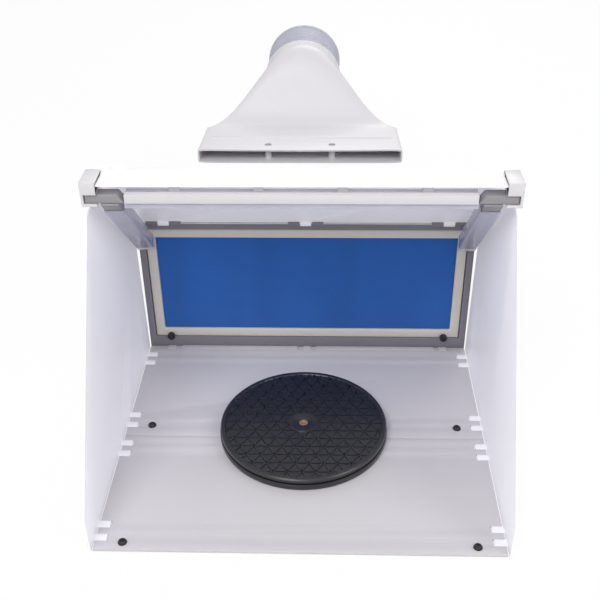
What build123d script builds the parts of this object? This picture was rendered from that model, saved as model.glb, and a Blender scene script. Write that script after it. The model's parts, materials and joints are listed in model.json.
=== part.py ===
from build123d import *
import math
import os

# Portable fold-out spray booth. Millimetres, +Z up, +Y to the back.
# Origin: on the table, under the middle of the base.

# Base
base_width = 400.0
base_depth = 338.0
plate = 3.0
front_panel_depth = 164.8
seam_gap = 0.4
bumper_radius = 4.6
bumper_height = 3.2
bumper_x = 172.4
bumper_front_inset = 9.0
bumper_rear_inset = 156.0
# Fan housing
housing_depth = 143.0
housing_height = 181.0
housing_wall = 2.5
flange_margin = 6.0
frame_depth = 12.0
frame_clear = 0.3
sill_height = 17.5
jamb_width = 8.0
head_height = 9.0
# Filter
filter_border = 11.5
filter_depth = 9.0
filter_clear = 0.6
pad_clear = 0.3
# Hood
hood_half_width = 210.0
sheet = 2.0
hood_top = 311.0
hood_panel_front = -3.5
hood_panel_rear = 36.0
hinge_y = 165.4
hinge_z = 182.5
hinge_pin_radius = 1.5
hinge_knuckle_radius = 3.4
running = 0.05
# Light frame
bar_half_length = 205.0
bar_depth = 15.0
bar_height = 9.0
bar_bottom = 291.5
arm_outer_x = 191.5
arm_splay = 2.2
arm_width = 20.0
arm_height = 15.0
arm_foot_y = 158.0
arm_foot_z = 158.0
tube_wall = 1.2
# Latches
latch_width = 15.0
latch_gap = 0.4
latch_wall = 2.4
# Walls
wall_sheet = 2.0
wall_pivot_x = 201.9
wall_lean = 0.6
wall_front_y = -171.5
chamfer_z = 41.0
tab_length = 11.0
tab_width = 8.5
tab_centres = (-153.5, -136.5, -33.5, -16.5, 14.5, 31.5, 132.5, 149.5)
# Turntable
disc_radius = 93.0
disc_y = 5.8
disc_lower = 6.0
disc_upper = 5.4
disc_gap = 1.6
foot_height = 1.0
ball_radius = 2.5
ball_ring = 45.0
ball_count = 12
spindle_radius = 4.0
# Fan
fan_y = 245.0
fan_z = 88.0
fan_radius = 42.0
fan_blade = 1.4
fan_blades = 24
fan_length = 270.0
fan_x = -14.0
fan_shaft_radius = 4.0
motor_radius = 32.0
motor_length = 46.0
# Exhaust
outlet_x = -14.0
mouth_half_width = 143.5
mouth_height = 21.0
mouth_bottom = 153.0
mouth_y = 402.0
adapter_wall = 2.2
shoulder_length = 84.0
shoulder_taper = 3.5
neck_length = 85.0
collar_radius = 58.0
collar_length = 26.0
hose_radius = 56.5
hose_wall = 1.6
hose_length = 103.0
spigot_length = 22.0
spigot_clear = 1.6
post_offset = 45.0
post_inset = 14.0
post_radius = 4.0
# Openings for controls
inlet_radius = 2.75
inlet_depth = 9.0
switch_width = 20.0
switch_height = 13.0

os.makedirs("parts", exist_ok=True)

front_y = -base_depth / 2
rear_y = base_depth / 2
housing_back = rear_y + housing_depth
seam_y = front_y + front_panel_depth
half = base_width / 2


def box(x0, x1, y0, y1, z0, z1):
    """Solid block between two corners."""
    block = Box(x1 - x0, y1 - y0, z1 - z0)
    return Pos((x0 + x1) / 2, (y0 + y1) / 2, (z0 + z1) / 2) * block


def rod_x(radius, x0, x1, y, z):
    """Round bar along X."""
    return Pos((x0 + x1) / 2, y, z) * Rot(0, 90, 0) * Cylinder(radius, x1 - x0)


def rod_y(radius, x, y0, y1, z):
    """Round bar along Y."""
    return Pos(x, (y0 + y1) / 2, z) * Rot(90, 0, 0) * Cylinder(radius, y1 - y0)


def rod_z(radius, x, y, z0, z1):
    """Round bar along Z."""
    return Pos(x, y, (z0 + z1) / 2) * Cylinder(radius, z1 - z0)


def side_plate(points, x0, x1):
    """Flat plate cut to (y, z) points, between x0 and x1."""
    outline = Plane.YZ * make_face(Polyline(*points, close=True))
    return Pos(x0, 0, 0) * extrude(outline, amount=x1 - x0, dir=(1, 0, 0))


def fuse(shapes):
    """One shape from a list of touching shapes."""
    total = shapes[0]
    for shape in shapes[1:]:
        total = total + shape
    return total


def save(node, shapes):
    """Write one node: a single shape or a list of separate solids."""
    solids = []
    for shape in shapes if isinstance(shapes, list) else [shapes]:
        solids += shape.solids()
    export_step(Compound(children=solids), f"parts/{node}.step")


# ---------------------------------------------------------------- base
def base_panel(y0, y1):
    """Base plate with the notches that take the wall tabs."""
    panel = box(-half, half, y0, y1, 0, plate)
    depth = tab_length + 0.8
    for centre in tab_centres:
        if y0 < centre < y1:
            for side in (-1, 1):
                x0, x1 = sorted((side * (half - depth), side * (half + 1)))
                lo = centre - tab_width / 2 - 0.4
                hi = centre + tab_width / 2 + 0.4
                panel = panel - box(x0, x1, lo, hi, -1, plate + 1)
    return panel


def bumper(x, y):
    """Domed rubber bumper with a dimple, standing on the base."""
    body = Pos(x, y, plate + bumper_height / 2) * Cone(bumper_radius, bumper_radius * 0.72, bumper_height)
    return body - rod_z(1.2, x, y, plate + bumper_height - 1, plate + bumper_height + 1)


bumper_rows = (front_y + bumper_front_inset, rear_y - bumper_rear_inset)
save("base_front_panel", base_panel(front_y, seam_y - seam_gap / 2))
save("base_rear_panel", base_panel(seam_y + seam_gap / 2, rear_y - frame_clear))
save("base_bumpers", [bumper(s * bumper_x, y) for y in bumper_rows for s in (-1, 1)])

# ---------------------------------------------------------------- turntable
disc_base = plate + foot_height
lower_top = disc_base + disc_lower
upper_bottom = lower_top + disc_gap
upper_top = upper_bottom + disc_upper
groove = ball_radius + 0.3


def turntable_feet():
    """Rubber pads under the lower disc."""
    feet = []
    for i in range(4):
        angle = math.radians(45 + 90 * i)
        x = disc_radius * 0.75 * math.cos(angle)
        y = disc_y + disc_radius * 0.75 * math.sin(angle)
        feet.append(rod_z(8, x, y, plate, disc_base))
    return feet


def race_groove(z):
    """Ring that cuts the ball track."""
    return Pos(0, disc_y, z) * Torus(ball_ring, groove)


ball_z = (lower_top + upper_bottom) / 2
spindle_top = upper_top - 1.6
lower_disc = rod_z(disc_radius, 0, disc_y, disc_base, lower_top)
lower_disc = lower_disc - race_groove(ball_z) - rod_z(spindle_radius, 0, disc_y, disc_base - 1, lower_top + 1)
upper_disc = rod_z(disc_radius - 0.6, 0, disc_y, upper_bottom, upper_top)
upper_disc = upper_disc - race_groove(ball_z)
upper_disc = upper_disc - rod_z(spindle_radius + running, 0, disc_y, upper_bottom - 1, spindle_top)
upper_disc = upper_disc - rod_z(5.4, 0, disc_y, spindle_top - 0.1, upper_top + 1)
save("turntable_feet", turntable_feet())
save("turntable_lower_disc", lower_disc)
save("turntable_upper_disc", upper_disc)
save("turntable_spindle", rod_z(spindle_radius, 0, disc_y, disc_base, spindle_top - 0.3))
balls = []
for i in range(ball_count):
    turn = math.radians(360 / ball_count * i)
    spot = Pos(ball_ring * math.cos(turn), disc_y + ball_ring * math.sin(turn), ball_z)
    balls.append(spot * Sphere(ball_radius))
save("turntable_balls", balls)
screw = rod_z(5.0, 0, disc_y, spindle_top - 0.1, upper_top - 0.4)
cross = box(-3, 3, disc_y - 0.5, disc_y + 0.5, upper_top - 1.2, upper_top)
cross = cross + box(-0.5, 0.5, disc_y - 3, disc_y + 3, upper_top - 1.2, upper_top)
save("turntable_screw", screw - cross)

# ---------------------------------------------------------------- housing
frame_back = rear_y + frame_depth
opening_x = half - jamb_width
opening_z0 = sill_height
opening_z1 = housing_height - head_height

back_y = housing_back - housing_wall
casing = box(-half, half, frame_back, back_y, 0, housing_height)
casing = casing - box(
    -half + housing_wall,
    half - housing_wall,
    frame_back - 1,
    back_y + 1,
    housing_wall,
    housing_height - housing_wall,
)
save("housing_casing", casing)
shell = box(-half, half, back_y, housing_back, 0, housing_height)
outlet_half = mouth_half_width - adapter_wall - spigot_clear - 2.0
outlet_z0 = mouth_bottom + adapter_wall + spigot_clear + 2.0
outlet_z1 = mouth_bottom + mouth_height - adapter_wall - spigot_clear - 2.0
outlet_cut = box(
    outlet_x - outlet_half,
    outlet_x + outlet_half,
    housing_back - 12,
    housing_back + 40,
    outlet_z0,
    outlet_z1,
)
inlet_x = 172.0
inlet_z = 40.0
fan_switch_x = 130.0
light_switch_x = 98.0
shell = shell - outlet_cut
shell = shell - rod_y(7.0, inlet_x, housing_back - 12, housing_back + 5, inlet_z)
panel_x0 = light_switch_x - switch_width
panel_x1 = fan_switch_x + switch_width
panel_z0 = inlet_z - switch_height
panel_z1 = inlet_z + switch_height
shell = shell - box(panel_x0 + 3, panel_x1 - 3, housing_back - 12, housing_back + 5, panel_z0 + 3, panel_z1 - 3)
save("housing_back_panel", shell)

front_frame = box(-half, half, rear_y, frame_back, 0, housing_height)
front_frame = front_frame - box(-opening_x, opening_x, rear_y - 1, frame_back + 1, opening_z0, opening_z1)
housing_knuckles = (-181.0, -153.0, -14.0, 14.0, 153.0, 181.0)
hood_knuckles = (-167.0, 0.0, 167.0)
knuckle_width = 13.0
pin_cut = rod_x(hinge_pin_radius, -half, half, hinge_y, hinge_z)
for x in housing_knuckles:
    knuckle = rod_x(hinge_knuckle_radius, x - knuckle_width / 2, x + knuckle_width / 2, hinge_y, hinge_z)
    root = box(
        x - knuckle_width / 2,
        x + knuckle_width / 2,
        hinge_y,
        rear_y + 4,
        hinge_z - hinge_knuckle_radius,
        housing_height,
    )
    front_frame = front_frame + knuckle + root
front_frame = front_frame - pin_cut
save("housing_front_frame", front_frame)
save("hood_hinge_pin", rod_x(hinge_pin_radius, -half + 8, half - 8, hinge_y, hinge_z))

# Filter frame and its soft pad, held by two rubber retainers in front.
filter_x = opening_x - filter_clear
filter_z0 = opening_z0
filter_z1 = opening_z1 - filter_clear
filter_y0 = rear_y + 1.0
filter_y1 = filter_y0 + filter_depth
filter_frame = box(-filter_x, filter_x, filter_y0, filter_y1, filter_z0, filter_z1)
pad_x = filter_x - filter_border
pad_z0 = filter_z0 + filter_border
pad_z1 = filter_z1 - filter_border
filter_frame = filter_frame - box(-pad_x, pad_x, filter_y0 - 1, filter_y1 + 1, pad_z0, pad_z1)
save("filter_frame", filter_frame)
save(
    "filter_pad",
    box(
        -pad_x + pad_clear,
        pad_x - pad_clear,
        filter_y0 + 3,
        filter_y1 - 0.3,
        pad_z0 + pad_clear,
        pad_z1 - pad_clear,
    ),
)


def retainer(x):
    """Rubber button on a short arm that holds the filter's lower edge."""
    button = rod_y(bumper_radius, x, rear_y - 4.0, rear_y + 0.7, opening_z0 + 1.5)
    return button - box(x - 9, x + 9, rear_y, rear_y + 1, opening_z0 - 9, opening_z0)


save("filter_retainers", [retainer(s * bumper_x) for s in (-1, 1)])

# Support grille behind the filter.
grille_y1 = frame_back + 2.5
grille_x = half - housing_wall - 0.3
grille = box(-grille_x, grille_x, frame_back + 0.3, grille_y1, 4, housing_height - 4)
rows, columns = 5, 12
cell_x = 2 * (grille_x - 12) / columns
cell_z = (housing_height - 32) / rows
for i in range(columns):
    for j in range(rows):
        x = -grille_x + 12 + cell_x * (i + 0.5)
        z = 16 + cell_z * (j + 0.5)
        cut = box(
            x - cell_x / 2 + 1.6,
            x + cell_x / 2 - 1.6,
            frame_back - 2,
            grille_y1 + 1,
            z - cell_z / 2 + 1.6,
            z + cell_z / 2 - 1.6,
        )
        grille = grille - cut
save("filter_grille", grille)

# ---------------------------------------------------------------- fan
fan_x0 = fan_x - fan_length / 2
fan_x1 = fan_x + fan_length / 2


def impeller():
    """Cross-flow wheel: two end discs, a middle disc and slats between them."""
    discs = []
    for x in (fan_x0, fan_x - 2, fan_x1 - 4):
        discs.append(rod_x(fan_radius, x, x + 4, fan_y, fan_z))
    wheel = fuse(discs)
    for i in range(fan_blades):
        slat = box(fan_x0 + 2, fan_x1 - 2, -7, 0, -fan_blade / 2, fan_blade / 2)
        slat = Rot(22, 0, 0) * slat
        slat = Pos(0, fan_radius - 0.6, 0) * slat
        slat = Pos(0, fan_y, fan_z) * Rot(360 / fan_blades * i, 0, 0) * slat
        wheel = wheel + slat
    return wheel - rod_x(fan_shaft_radius, fan_x0 - 1, fan_x1 + 1, fan_y, fan_z)


save("fan_impeller", impeller())
motor_x0 = fan_x1 + 14
motor_x1 = motor_x0 + motor_length
save("fan_shaft", rod_x(fan_shaft_radius, fan_x0 - 13, motor_x0 + 6, fan_y, fan_z))
motor = rod_x(motor_radius, motor_x0, motor_x1, fan_y, fan_z)
motor = motor - rod_x(fan_shaft_radius + running, motor_x0 - 1, motor_x0 + 8, fan_y, fan_z)
save("fan_motor", motor)
bearing_x0 = fan_x0 - 12
bearing = rod_x(11, bearing_x0, bearing_x0 + 7, fan_y, fan_z)
bearing = bearing - rod_x(fan_shaft_radius + running, bearing_x0 - 1, bearing_x0 + 8, fan_y, fan_z)
save("fan_bearing", bearing)


def stand(x0, x1, hole_radius, half_depth):
    """Upright bracket from the housing floor up to a round seat."""
    body = box(x0, x1, fan_y - half_depth, fan_y + half_depth, housing_wall, fan_z)
    body = body + rod_x(half_depth, x0, x1, fan_y, fan_z)
    return body - rod_x(hole_radius, x0 - 1, x1 + 1, fan_y, fan_z)


save("bearing_bracket", stand(bearing_x0, bearing_x0 + 7, 11, 18))
save("motor_bracket", stand(motor_x0 + 12, motor_x0 + 34, motor_radius, motor_radius + 4))

# Guide plates that carry the air from the wheel to the outlet.
scroll_x0 = outlet_x - outlet_half - 3
scroll_x1 = min(outlet_x + outlet_half, motor_x0 - 3)
scroll_x0 = max(scroll_x0, bearing_x0 + 8)
outer = fan_radius + 9
scroll = rod_x(outer + 2, scroll_x0, scroll_x1, fan_y, fan_z)
scroll = scroll - rod_x(outer, scroll_x0 - 1, scroll_x1 + 1, fan_y, fan_z)
scroll = scroll & box(scroll_x0, scroll_x1, fan_y - 4, fan_y + 80, housing_wall, fan_z)
riser = box(scroll_x0, scroll_x1, fan_y + outer, fan_y + outer + 2, fan_z, outlet_z0 + 2)
lip_shelf = box(scroll_x0, scroll_x1, fan_y + outer, housing_back - housing_wall - 0.3, outlet_z0, outlet_z0 + 2)
foot = box(scroll_x0, scroll_x1, fan_y - 4, fan_y + 20, housing_wall, fan_z - outer - 1)
if fan_z - outer - 1 - housing_wall > 1:
    scroll = scroll + foot
save("fan_scroll", scroll + riser + lip_shelf)
tongue_y0 = fan_y - fan_radius - 16
tongue = box(scroll_x0, scroll_x1, tongue_y0, housing_back - housing_wall - 0.3, outlet_z1, outlet_z1 + 2)
hanger = box(scroll_x0, scroll_x1, tongue_y0, tongue_y0 + 2, outlet_z1 + 2, housing_height - housing_wall)
skirt = box(scroll_x0, scroll_x1, tongue_y0, tongue_y0 + 2, fan_z + 34, outlet_z1)
save("fan_tongue", tongue + hanger + skirt)

# ---------------------------------------------------------------- rear fittings
spigot = box(
    outlet_x - outlet_half - 2,
    outlet_x + outlet_half + 2,
    housing_back,
    housing_back + spigot_length,
    outlet_z0 - 2,
    outlet_z1 + 2,
)
notch_y = housing_back + post_inset - post_radius + 1.0
flange = box(
    outlet_x - outlet_half - 8,
    outlet_x + outlet_half + 8,
    housing_back,
    housing_back + 2,
    outlet_z0 - 6,
    outlet_z1 + 6,
)
flange = flange & box(-half, half, housing_back, housing_back + 2, 0, housing_height - flange_margin)
spigot = spigot + flange - outlet_cut
for side in (-1, 1):
    x = outlet_x + side * post_offset
    spigot = spigot - box(x - 5, x + 5, notch_y, housing_back + spigot_length + 1, 0, housing_height)
save("exhaust_spigot", spigot)

panel = box(panel_x0, panel_x1, housing_back, housing_back + 2, panel_z0, panel_z1)
for x in (light_switch_x, fan_switch_x):
    panel = panel - box(
        x - switch_width / 2,
        x + switch_width / 2,
        housing_back - 1,
        housing_back + 3,
        inlet_z - switch_height / 2,
        inlet_z + switch_height / 2,
    )
for x in (light_switch_x, fan_switch_x):
    well = box(
        x - switch_width / 2 - 1.5,
        x + switch_width / 2 + 1.5,
        housing_back - 11,
        housing_back,
        inlet_z - switch_height / 2 - 1.5,
        inlet_z + switch_height / 2 + 1.5,
    )
    well = well - box(
        x - switch_width / 2,
        x + switch_width / 2,
        housing_back - 9.5,
        housing_back + 1,
        inlet_z - switch_height / 2,
        inlet_z + switch_height / 2,
    )
    panel = panel + well
save("control_panel", panel)


def rocker(x):
    """Rocker button that tips about its middle."""
    button = box(
        x - switch_width / 2 + 1.0,
        x + switch_width / 2 - 1.0,
        housing_back - 4,
        housing_back + 3.6,
        inlet_z - switch_height / 2 + 0.6,
        inlet_z + switch_height / 2 - 0.6,
    )
    crown = rod_z(24, x, housing_back + 24.6, inlet_z - 20, inlet_z + 20)
    return button - crown


save("fan_rocker", rocker(fan_switch_x))
save("light_rocker", rocker(light_switch_x))
inlet = rod_y(6.9, inlet_x, housing_back - 11, housing_back + 1, inlet_z)
inlet = inlet + rod_y(9, inlet_x, housing_back, housing_back + 1.6, inlet_z)
inlet = inlet - rod_y(inlet_radius, inlet_x, housing_back - inlet_depth, housing_back + 3, inlet_z)
save("power_inlet", inlet)
save("driver_board", box(-194, -168, housing_back - 26, housing_back - 24.4, 15, 105))
posts = []
for x in (-189, -173):
    for z in (21, 99):
        posts.append(rod_y(2.5, x, housing_back - 24.4, housing_back - housing_wall, z))
save("board_posts", posts)
screws = []
for x in (-188, -70, 70, 188):
    for z in (9, 120):
        if not (abs(x) < 100 and z < 100 and x > 0):
            screws.append(rod_y(3.2, x, housing_back, housing_back + 1.4, z))
save("housing_screws", screws)

# ---------------------------------------------------------------- side walls
wall_pivot_z = 1.5


def side_wall(side):
    """Translucent side sheet with its hinge tabs, leaning a little outward."""
    slope_end = (168.0, 175.0)
    outline = [
        (rear_y - 1.0, 0.4),
        (wall_front_y + 1.5, 0.4),
        (wall_front_y, chamfer_z),
        (-5.0, 279.0),
        (14.0, 279.0),
        (14.0, hood_top - sheet - 1.5),
        (hood_panel_rear - 2.0, hood_top - sheet - 1.5),
        (slope_end[0] - 12.0, slope_end[1] + 3.0),
        (rear_y - 1.0, slope_end[1] - 12.0),
    ]
    sheet_body = side_plate(outline, -wall_sheet * 0.75, wall_sheet * 0.25)
    sheet_body = Pos(0, 0, -wall_pivot_z) * sheet_body
    sheet_body = Rot(0, -wall_lean, 0) * sheet_body
    for centre in tab_centres:
        lo = centre - tab_width / 2
        hi = centre + tab_width / 2
        tab = box(0, wall_pivot_x - half + tab_length, lo, hi, -0.6, 1.5)
        sheet_body = sheet_body + tab
    sheet_body = Pos(-wall_pivot_x, 0, wall_pivot_z) * sheet_body
    if side > 0:
        sheet_body = mirror(sheet_body, Plane.YZ)
    return sheet_body


save("wall_left", side_wall(-1))
save("wall_right", side_wall(1))

# ---------------------------------------------------------------- hood
slope_y0 = hood_panel_rear
slope_y1 = hinge_y + 1.0
slope_z0 = hood_top
slope_z1 = hinge_z + hinge_knuckle_radius - 0.2
slope_length = math.hypot(slope_y1 - slope_y0, slope_z0 - slope_z1)
slope_angle = math.degrees(math.atan2(slope_z0 - slope_z1, slope_y1 - slope_y0))


def hood_slope():
    """Sloping hood panel with knuckles round the hinge pin."""
    points = [
        (slope_y0 + 1.2, slope_z0 - 0.6),
        (slope_y1, slope_z1),
        (slope_y1 - sheet * math.sin(math.radians(slope_angle)), slope_z1 - sheet),
        (slope_y0 + 1.2, slope_z0 - 0.6 - sheet * 1.25),
    ]
    panel = side_plate(points, -hood_half_width, hood_half_width)
    for x in housing_knuckles:
        panel = panel - rod_x(
            hinge_knuckle_radius + 0.6,
            x - knuckle_width / 2 - 0.4,
            x + knuckle_width / 2 + 0.4,
            hinge_y,
            hinge_z,
        )
    for x in hood_knuckles:
        panel = panel + rod_x(
            hinge_knuckle_radius,
            x - knuckle_width / 2 + 0.3,
            x + knuckle_width / 2 - 0.3,
            hinge_y,
            hinge_z,
        )
    return panel - rod_x(hinge_pin_radius + running, -half - 20, half + 20, hinge_y, hinge_z)


save("hood_rear_panel", hood_slope())
panel_hinge_y = hood_panel_rear + 0.6
front_panel = box(
    -hood_half_width,
    hood_half_width,
    hood_panel_front,
    panel_hinge_y,
    hood_top - sheet,
    hood_top,
)
save("hood_front_panel", front_panel)

# ---------------------------------------------------------------- light frame
bar_y0 = hood_panel_front + 0.5
bar_y1 = bar_y0 + bar_depth
bar_top = bar_bottom + bar_height
bar_core = box(-bar_half_length + 38, bar_half_length - 38, bar_y0, bar_y1, bar_bottom, bar_top)
ridge = box(-bar_half_length + 38, bar_half_length - 38, bar_y0 + 4, bar_y0 + 6, bar_top, bar_top + 1)
hanger_posts = []
for x in (-120, -40, 40, 120):
    hanger_posts.append(box(x - 5, x + 5, bar_y0 + 7, bar_y0 + 12, bar_top, hood_top - sheet))
save("light_bar", fuse([bar_core, ridge] + hanger_posts))
cap_length = 38.0


def bar_cap(side):
    """Darker end of the bar, with the arm's socket below it."""
    x0, x1 = sorted((side * (bar_half_length - cap_length), side * bar_half_length))
    return box(x0, x1, bar_y0, bar_y1, bar_bottom, bar_top)


save("bar_cap_left", bar_cap(-1))
save("bar_cap_right", bar_cap(1))
tube_drop = 6.0
diffuser = box(-168, 168, bar_y0 + 2, bar_y1 - 2, bar_bottom - tube_drop, bar_bottom)
diffuser = diffuser - box(-166.8, 166.8, bar_y0 + 3.2, bar_y1 - 3.2, bar_bottom - tube_drop + 1.2, bar_bottom)
save("bar_diffuser", diffuser)
led_strip = box(-164, 164, bar_y0 + 4.2, bar_y1 - 4.2, bar_bottom - 1.2, bar_bottom)
save("bar_led_strip", led_strip)

arm_top_y = bar_y0 + bar_depth / 2
arm_top_z = bar_bottom
arm_run = arm_foot_y - arm_top_y
arm_fall = arm_top_z - arm_foot_z
arm_angle = math.degrees(math.atan2(arm_fall, arm_run))
arm_length = math.hypot(arm_run, arm_fall)


def along_arm(side, shape):
    """Place a shape built along +Y from the bar end onto the arm's slope."""
    x = side * (arm_outer_x - arm_width / 2)
    return Pos(x, arm_top_y, arm_top_z) * Rot(0, 0, -side * arm_splay) * Rot(-arm_angle, 0, 0) * shape


def arm_tube(side):
    """Clear arm tube, hollow, closed by the bar cap and the foot cap."""
    w = arm_width / 2
    h = arm_height / 2
    length = arm_length - 14
    tube = box(-w, w, 15, length, -h, h)
    tube = tube - box(-w + tube_wall, w - tube_wall, 14, length + 1, -h + tube_wall, h - tube_wall)
    return along_arm(side, tube)


def arm_socket(side):
    """Block under the bar cap that takes the arm tube."""
    w = arm_width / 2 - tube_wall
    h = arm_height / 2 - tube_wall
    plug = along_arm(side, box(-w, w, -4, 22, -h, h))
    limit = box(-half - 9, half + 9, -60, 200, 0, bar_bottom)
    return plug & limit


def arm_foot(side):
    """Lower end cap of an arm."""
    w = arm_width / 2
    h = arm_height / 2
    cap = box(-w, w, arm_length - 14, arm_length - 4, -h, h)
    cap = cap + box(
        -w + tube_wall,
        w - tube_wall,
        arm_length - 20,
        arm_length - 14,
        -h + tube_wall,
        h - tube_wall,
    )
    return along_arm(side, cap)


def arm_strip(side):
    """Light board inside the arm."""
    w = arm_width / 2 - tube_wall - 1.2
    z0 = -arm_height / 2 + tube_wall + 0.1
    return along_arm(side, box(-w, w, 24, arm_length - 22, z0, z0 + 1.4))


for side, label in ((-1, "left"), (1, "right")):
    save(f"arm_tube_{label}", arm_tube(side))
    save(f"arm_socket_{label}", arm_socket(side))
    save(f"arm_foot_{label}", arm_foot(side))
    save(f"arm_led_strip_{label}", arm_strip(side))


# ---------------------------------------------------------------- latches
def latch(side):
    """Clip that slides outward: a block on the hood and a C round the bar's end."""
    x1 = bar_half_length + latch_gap + latch_wall
    x0 = x1 - latch_width
    y0 = bar_y0 + 1.0
    y1 = bar_y1 - 1.0
    under = bar_bottom - latch_gap - latch_wall
    clip = box(x0, x1, y0 - 3, y1, under, hood_top + 3.2)
    clip = clip - box(
        x0 - 1,
        x1 - latch_wall,
        y0 - 5,
        y1 + 1,
        bar_bottom - latch_gap,
        bar_top + latch_gap,
    )
    clip = clip - box(
        x0 - 1,
        x1 + 1,
        hood_panel_front - latch_gap,
        y1 + 1,
        hood_top - sheet - latch_gap,
        hood_top + latch_gap,
    )
    clip = clip + box(x0, x1, y0, hood_panel_rear - 10, hood_top + latch_gap, hood_top + 3.2)
    if side < 0:
        clip = mirror(clip, Plane.YZ)
    return clip


save("latch_left", latch(-1))
save("latch_right", latch(1))


# ---------------------------------------------------------------- exhaust adapter
def section(y, half_width, height, grow):
    """Rounded outline of the adapter at one depth, flat side down."""
    w = half_width + grow
    h = height / 2 + grow
    corner = min(w, h) * (0.35 + 0.64 * min(1.0, height / (2 * collar_radius)))
    spot = Plane(origin=(outlet_x, y, mouth_bottom + height / 2), x_dir=(1, 0, 0), z_dir=(0, -1, 0))
    return spot * RectangleRounded(2 * w, 2 * h, corner)


def adapter_profile(t):
    """Half width and height at share t of the way from shoulder to collar."""
    width = collar_radius + (mouth_half_width - shoulder_taper - collar_radius) * (1 - t) ** 1.7
    rise = t * t * (3 - 2 * t)
    height = mouth_height + (2 * collar_radius - mouth_height) * rise
    return width, height


def mouth_body(grow, over):
    """Flat part of the adapter, mouth to shoulder."""
    ends = [
        section(mouth_y - over, mouth_half_width, mouth_height, grow),
        section(mouth_y + shoulder_length + over, mouth_half_width - shoulder_taper, mouth_height, grow),
    ]
    return loft(ends, ruled=True)


def neck_body(grow):
    """Part of the adapter that narrows and rises from shoulder to collar."""
    steps = 7
    rings = []
    for i in range(steps + 1):
        width, height = adapter_profile(i / steps)
        rings.append(section(mouth_y + shoulder_length + neck_length * i / steps, width, height, grow))
    return loft(rings, ruled=True)


collar_y0 = mouth_y + shoulder_length + neck_length
collar_y1 = collar_y0 + collar_length
collar_z = mouth_bottom + collar_radius
post_y = mouth_y + post_inset
mouth = mouth_body(0, 0) - mouth_body(-adapter_wall, 0.01)
for side in (-1, 1):
    x = outlet_x + side * post_offset
    mouth = mouth + rod_z(post_radius, x, post_y, mouth_bottom + 0.5, mouth_bottom + mouth_height - 0.5)
    mouth = mouth - rod_z(2.2, x, post_y, mouth_bottom + 6, mouth_bottom + 40)
save("duct_mouth", mouth)
save("duct_neck", neck_body(0) - neck_body(-adapter_wall))
collar = rod_y(collar_radius, outlet_x, collar_y0, collar_y1, collar_z)
save("duct_collar", collar - rod_y(collar_radius - adapter_wall, outlet_x, collar_y0 - 1, collar_y1 + 1, collar_z))

# Hose, pushed together into short folds, its cuff inside the collar.
hose_inner = collar_radius - adapter_wall - 0.6
hose_y0 = collar_y1 + 0.6
hose_y1 = collar_y0 + hose_length
profile = [
    (hose_inner - hose_wall - 1.4, collar_y1 - 14),
    (hose_inner - 0.2, collar_y1 - 14),
    (hose_inner - 0.2, hose_y0),
    (hose_radius, hose_y0 + 2),
    (hose_radius, hose_y1),
    (hose_inner - hose_wall - 1.4, hose_y1),
]
outline = make_face(Polyline(*[(r, y, 0) for r, y in profile], close=True))
hose = revolve(outline, axis=Axis.Y)
save("duct_hose", Pos(outlet_x, 0, collar_z) * hose)
cuff = rod_y(hose_radius + 1.0, outlet_x, hose_y1 + 0.3, hose_y1 + 6, collar_z)
cuff = cuff - rod_y(hose_inner - 3.0, outlet_x, hose_y1 - 1, hose_y1 + 8, collar_z)
save("duct_hose_cuff", cuff)
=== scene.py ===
import json
import math

import bpy
from mathutils import Matrix, Vector


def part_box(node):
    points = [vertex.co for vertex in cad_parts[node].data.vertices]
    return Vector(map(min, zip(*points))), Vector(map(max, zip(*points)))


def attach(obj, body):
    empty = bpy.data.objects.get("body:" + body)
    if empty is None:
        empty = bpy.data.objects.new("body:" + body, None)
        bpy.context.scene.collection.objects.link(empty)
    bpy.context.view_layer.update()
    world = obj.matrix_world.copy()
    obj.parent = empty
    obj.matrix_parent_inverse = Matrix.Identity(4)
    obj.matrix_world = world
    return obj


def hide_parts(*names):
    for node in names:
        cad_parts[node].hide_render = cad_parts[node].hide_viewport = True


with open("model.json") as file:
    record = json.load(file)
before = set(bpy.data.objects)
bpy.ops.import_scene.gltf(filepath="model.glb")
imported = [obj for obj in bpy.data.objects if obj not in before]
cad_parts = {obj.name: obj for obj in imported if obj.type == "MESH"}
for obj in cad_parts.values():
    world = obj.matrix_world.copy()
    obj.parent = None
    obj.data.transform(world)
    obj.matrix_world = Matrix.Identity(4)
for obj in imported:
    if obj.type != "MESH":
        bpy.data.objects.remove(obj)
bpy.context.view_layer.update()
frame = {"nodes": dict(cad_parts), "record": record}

bl_info = {
    "name": "Portable spray booth",
    "version": (1, 0, 0),
    "blender": (4, 5, 0),
    "location": "3D View > Sidebar > Spray Booth",
    "description": "Finishes a fold-out spray booth round its packed construction model",
    "category": "Object",
}

MM = 0.001

# name, place, target, size in metres and power in watts
LAMPS = (
    ("key", (-0.5, -1.3, 1.9), (0, 0, 0.1), 1.4, 28),
    ("fill", (1.5, -0.9, 1.3), (0, 0, 0.1), 1.2, 10),
    ("back", (0.3, 1.9, 1.7), (0, 0.3, 0.2), 1.4, 16),
)
CAMERA_PLACE = (0.02576, -0.75703, 0.66951)
CAMERA_HEADING, CAMERA_DOWN, CAMERA_ROLL = 2.084, 32.745, -0.775
FLOOR_WHITENING = 0.9
SKY_ON_OBJECT = 0.55

# from and to across the width, in millimetres
HINGE_TONGUES = ((-177, -167), (-160, -12), (-4.5, 4.5), (12, 161), (167, 177))
HOOD_FINGERS = ((-201, -189), (-181, -172), (-16, -7), (1, 10), (172, 181), (189, 201))


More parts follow.
